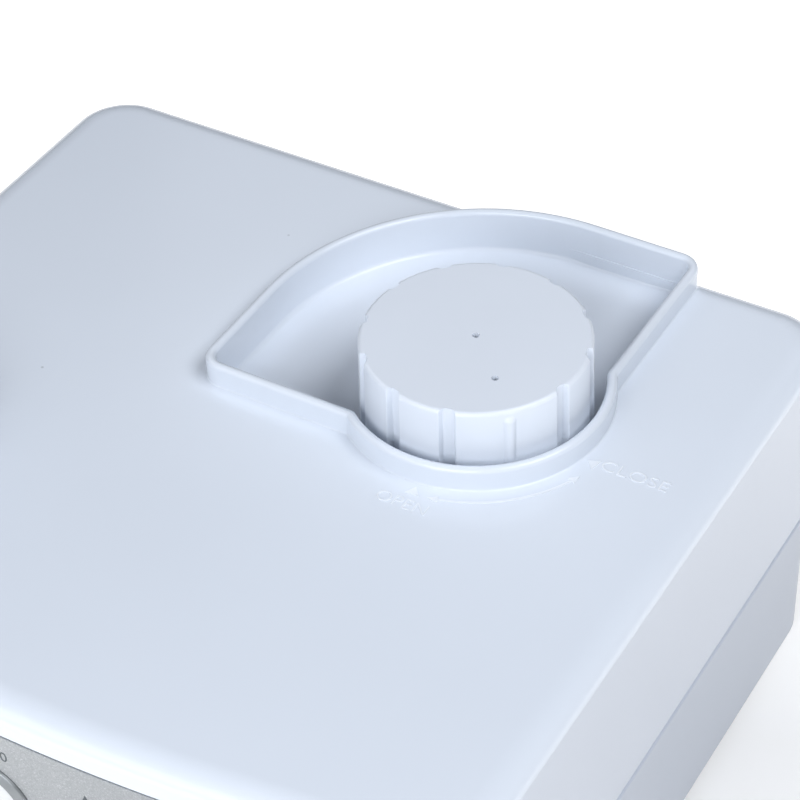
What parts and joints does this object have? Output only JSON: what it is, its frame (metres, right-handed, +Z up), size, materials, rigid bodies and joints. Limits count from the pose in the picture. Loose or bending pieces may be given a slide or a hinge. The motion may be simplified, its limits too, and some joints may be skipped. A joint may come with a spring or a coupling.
{
  "type": "cool mist humidifier",
  "caption": "Low white console humidifier with a lift-off tank, a rimmed fill basin with a ribbed screw cap, a bowed silver front with dials, and a turning mist nozzle.",
  "frame": {"origin": "centre of the footprint on the surface the feet stand on", "axes": "+X across the body to the right seen from the front, +Y towards the back, +Z up; the bowed silver front faces -Y"},
  "size_m": [0.296, 0.277, 0.16],
  "materials": {
    "white_gloss": "glossy white moulded plastic with a faint cool tint",
    "cap_white": "satin white moulded plastic",
    "tray_grey": "plain grey moulded plastic",
    "silver_panel": "silver metallic lacquer with a fine fleck on plastic",
    "dial_grey": "grey satin plastic with a thin bevel",
    "dial_ivory": "ivory satin plastic",
    "rubber_dark": "dark moulded rubber",
    "rubber_grey": "grey silicone",
    "black_plastic": "fine textured black plastic",
    "board_green": "circuit board laminate with parts",
    "board_brown": "power board laminate with parts",
    "steel": "zinc plated steel",
    "aluminium": "extruded aluminium",
    "brass": "plated brass disc",
    "lens_green": "clear green light guide",
    "clear_blue": "tinted moulded plastic",
    "foam_dark": "open cell foam",
    "float_orange": "foamed orange plastic"
  },
  "bodies": {
    "base": {"base_housing": "white_gloss", "bottom_plate": "tray_grey", "rubber_feet": "rubber_dark", "housing_screws": "steel", "water_tray": "tray_grey", "float_clip": "cap_white", "transducer_clamp": "aluminium", "transducer_seal": "rubber_grey", "transducer_disc": "brass", "driver_board": "board_green", "heat_sink": "aluminium", "power_board": "board_brown", "power_inlet": "black_plastic", "blower_housing": "black_plastic", "blower_cover": "black_plastic", "blower_motor": "steel", "duct_sleeve": "rubber_grey", "console_cover": "white_gloss", "front_panel": "silver_panel", "control_board": "board_green", "board_screws": "steel", "humidistat": "black_plastic", "mist_pot": "black_plastic", "tact_switch": "black_plastic", "indicator_lenses": "lens_green"},
    "tank": {"top_cover": "white_gloss", "basin_rim": "white_gloss", "basin_floor": "white_gloss", "fill_neck": "white_gloss", "tank_shell": "white_gloss", "tank_floor": "white_gloss", "mist_duct": "white_gloss", "duct_seal": "rubber_grey", "valve_body": "clear_blue", "valve_spring": "steel"},
    "valve": {"valve_plunger": "cap_white", "valve_seal": "rubber_grey"},
    "cap_seat": {"cap_gasket": "rubber_grey"},
    "cap": {"fill_cap": "cap_white", "cap_plug": "cap_white"},
    "collar": {"nozzle_collar": "white_gloss"},
    "nozzle": {"mist_nozzle": "white_gloss", "nozzle_top": "white_gloss"},
    "humidity_dial": {"humidity_knob": "dial_grey", "humidity_knob_face": "dial_ivory", "humidity_shaft": "steel"},
    "mist_dial": {"mist_knob": "dial_grey", "mist_knob_face": "dial_ivory", "mist_shaft": "steel"},
    "button": {"power_button": "dial_ivory"},
    "float_ring": {"float": "float_orange", "float_magnet": "black_plastic"},
    "rotor": {"blower_rotor": "black_plastic", "rotor_shaft": "steel"},
    "filter_drawer": {"intake_grille": "white_gloss", "air_filter": "foam_dark"}
  },
  "joints": [
    {"name": "tank_lift", "type": "slide", "parent": "base", "child": "tank", "axis": [0, 0, 1], "range_m": [0, 0.12]},
    {"name": "valve_open", "type": "slide", "parent": "tank", "child": "valve", "axis": [0, 0, 1], "range_m": [0, 0.004], "stiffness_N_per_m": 150, "springref_m": -0.004, "deforming": ["valve_spring"]},
    {"name": "cap_lift", "type": "slide", "parent": "tank", "child": "cap_seat", "axis": [0, 0, 1], "range_m": [0, 0.06]},
    {"name": "cap_turn", "type": "hinge", "parent": "cap_seat", "child": "cap", "pos_m": [0.059, 0.05, 0.143], "axis": [0, 0, 1], "range_deg": [-40, 32]},
    {"name": "nozzle_lift", "type": "slide", "parent": "tank", "child": "collar", "axis": [0, 0, 1], "range_m": [0, 0.05]},
    {"name": "nozzle_turn", "type": "hinge", "parent": "collar", "child": "nozzle", "pos_m": [-0.098, -0.06, 0.141], "axis": [0, 0, 1], "continuous": true},
    {"name": "humidity_turn", "type": "hinge", "parent": "base", "child": "humidity_dial", "pos_m": [-0.006, -0.1335, 0.0915], "axis": [0, -1, 0], "range_deg": [-75, 75]},
    {"name": "mist_turn", "type": "hinge", "parent": "base", "child": "mist_dial", "pos_m": [-0.052, -0.1335, 0.0915], "axis": [0, -1, 0], "range_deg": [-135, 135]},
    {"name": "button_press", "type": "slide", "parent": "base", "child": "button", "axis": [0, 1, 0], "range_m": [0, 0.0015], "stiffness_N_per_m": 500, "springref_m": -0.001},
    {"name": "float_rise", "type": "slide", "parent": "base", "child": "float_ring", "axis": [0, 0, 1], "range_m": [0, 0.01]},
    {"name": "rotor_spin", "type": "hinge", "parent": "base", "child": "rotor", "pos_m": [0.084, 0.012, 0.029], "axis": [0, 0, 1], "continuous": true},
    {"name": "filter_pull", "type": "slide", "parent": "base", "child": "filter_drawer", "axis": [0, 1, 0], "range_m": [0, 0.03]}
  ]
}
